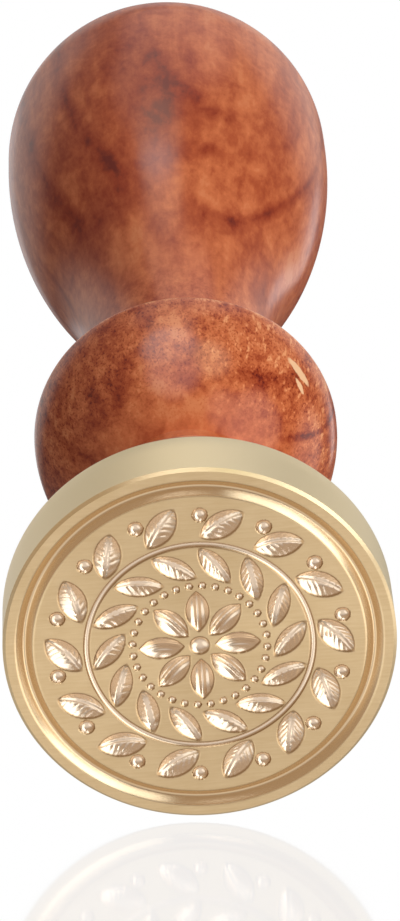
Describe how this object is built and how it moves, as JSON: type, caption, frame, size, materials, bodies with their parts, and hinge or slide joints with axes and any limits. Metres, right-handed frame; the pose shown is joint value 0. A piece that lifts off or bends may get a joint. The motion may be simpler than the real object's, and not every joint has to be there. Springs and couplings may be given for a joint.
{
  "type": "wax seal stamp",
  "caption": "Hand stamp for sealing wax: an engraved round brass die that screws onto a turned, pear-shaped wooden handle with a collar bead.",
  "frame": {"origin": "centre of the engraved face, on which the stamp stands", "axes": "+Z along the handle, from the face to the knob; +X through one petal of the rosette"},
  "size_m": [0.025, 0.025, 0.0905],
  "materials": {
    "brass": "satin, polished in the engraving",
    "steel": "bright zinc plated",
    "rosewood": "gloss lacquer over rosewood"
  },
  "bodies": {
    "head": {"stamp_head": "brass"},
    "stud": {"threaded_stud": "steel"},
    "handle": {"wooden_handle": "rosewood"}
  },
  "joints": [
    {"name": "stud_travel", "type": "slide", "parent": "head", "child": "stud", "axis": [0, 0, 1], "range_m": [0, 0.008]},
    {"name": "handle_turn", "type": "hinge", "parent": "stud", "child": "handle", "pos_m": [0, 0, 0.015], "axis": [0, 0, 1], "range_deg": [0, 2880]}
  ],
  "couplings": [
    {"joint": "stud_travel", "follows": "handle_turn", "m_per_rad": 0.00015915}
  ]
}
